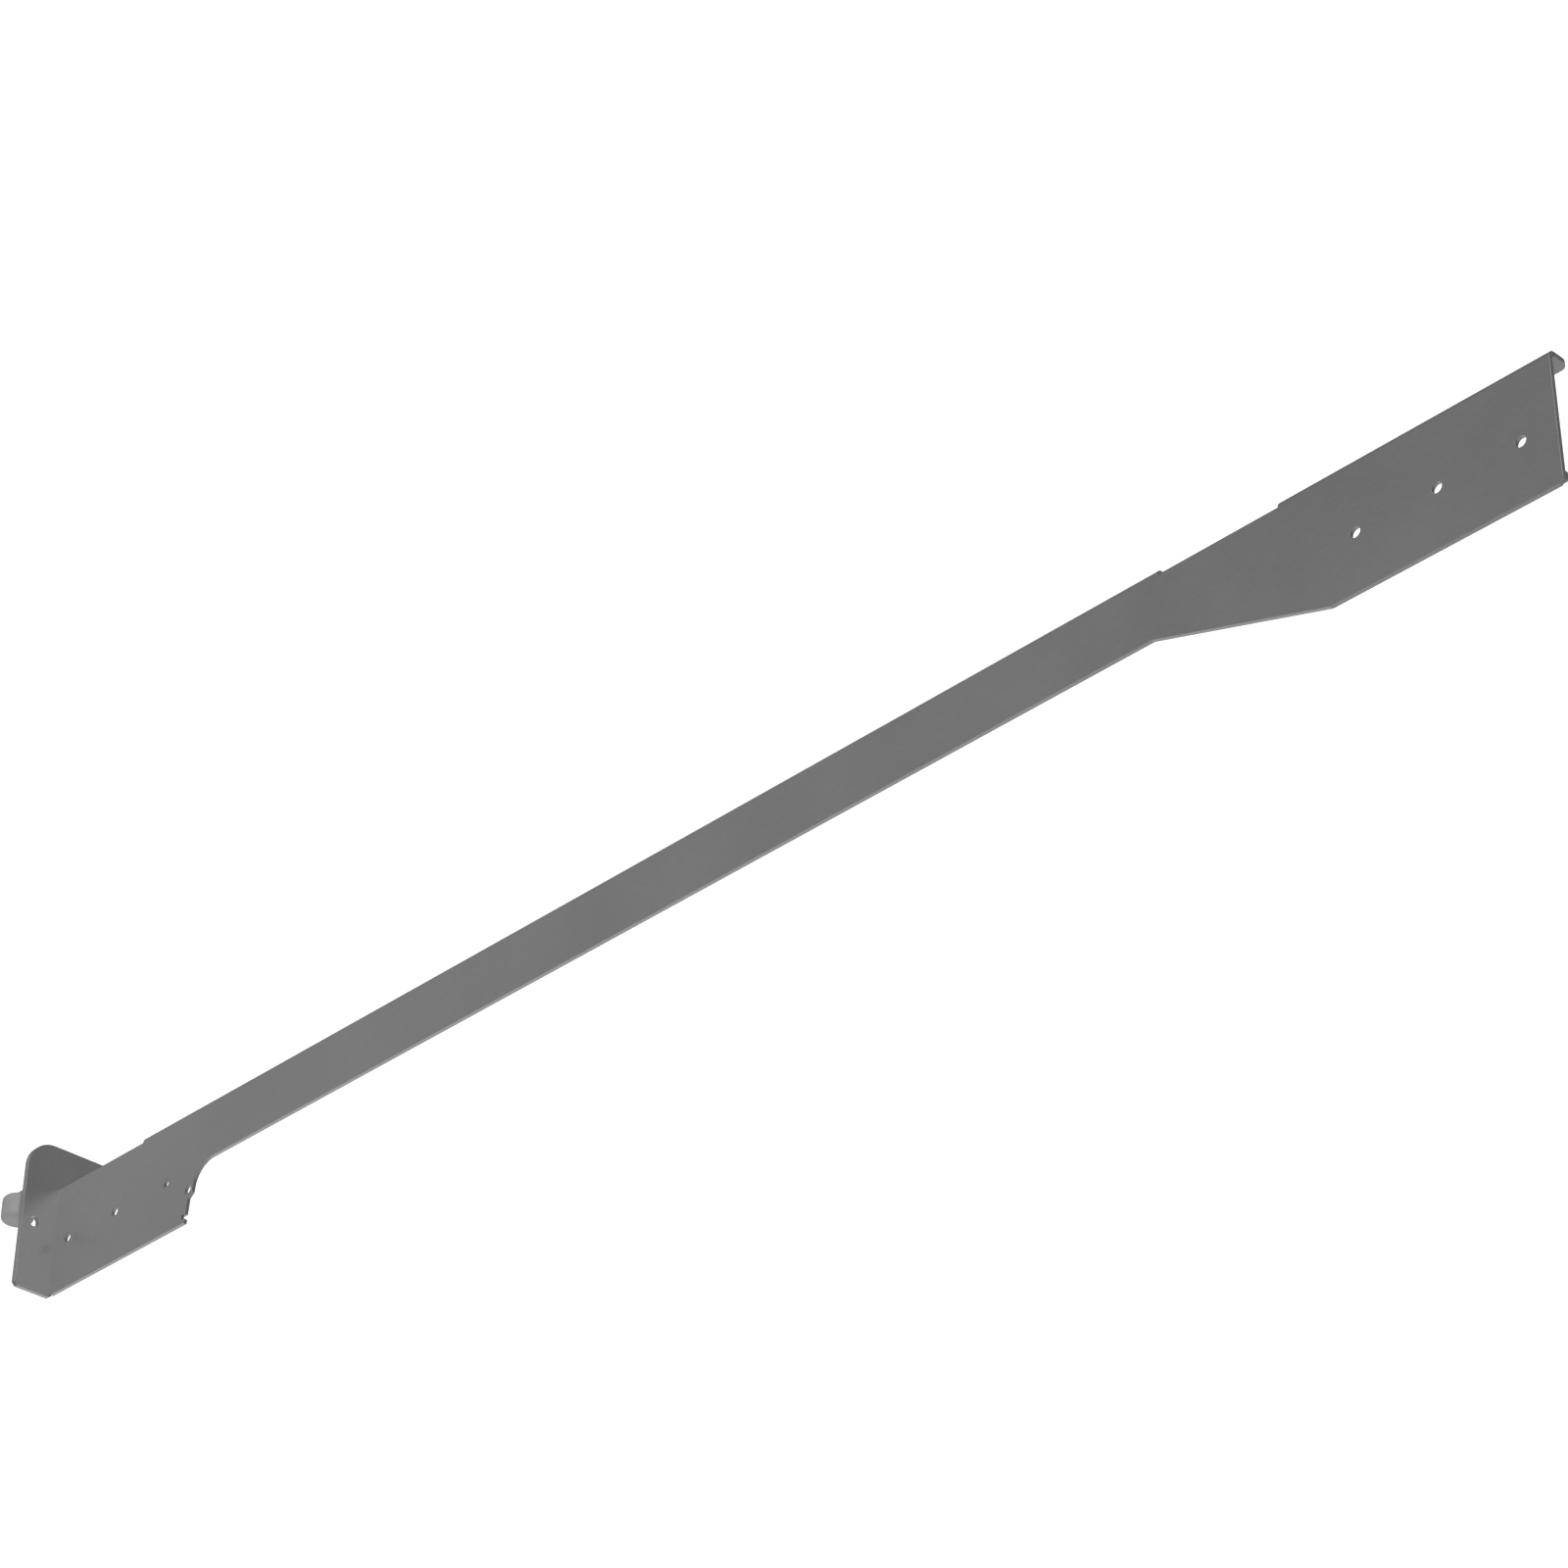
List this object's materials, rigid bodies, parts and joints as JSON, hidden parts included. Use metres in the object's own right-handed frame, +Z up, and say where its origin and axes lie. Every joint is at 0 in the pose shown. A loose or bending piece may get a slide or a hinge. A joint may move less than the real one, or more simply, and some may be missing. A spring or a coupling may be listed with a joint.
{
  "type": "gate opener arm",
  "caption": "Long folded-sheet gate opener arm with a widened bolting end, a deep head with bolt holes, and a square end plate carrying a small guide roller.",
  "frame": {"origin": "centre of the middle hole of the gate end's bolt line, on the flat front face", "axes": "+X along the arm from the head to the gate end, +Y behind the web towards the flange side, +Z up towards the flanged edge"},
  "size_m": [1.2098, 0.0715, 0.1044],
  "materials": {
    "arm_steel": "satin grey plated sheet steel",
    "weld_steel": "plated weld bead",
    "zinc_steel": "bright zinc plate",
    "nylon": "light grey nylon",
    "bronze": "oil-filled bronze"
  },
  "bodies": {
    "arm": {"arm_bar": "arm_steel", "end_plate": "arm_steel", "seam_weld": "weld_steel", "roller_carrier": "arm_steel", "carrier_weld": "weld_steel", "axle_washer": "zinc_steel", "roller_axle": "zinc_steel"},
    "roller": {"guide_roller": "nylon", "roller_bush": "bronze", "hub_cap": "nylon"}
  },
  "joints": [
    {"name": "roller_spin", "type": "hinge", "parent": "arm", "child": "roller", "pos_m": [-1.1283, -0.021, 0.0218], "axis": [0, 0, 1], "continuous": true}
  ]
}
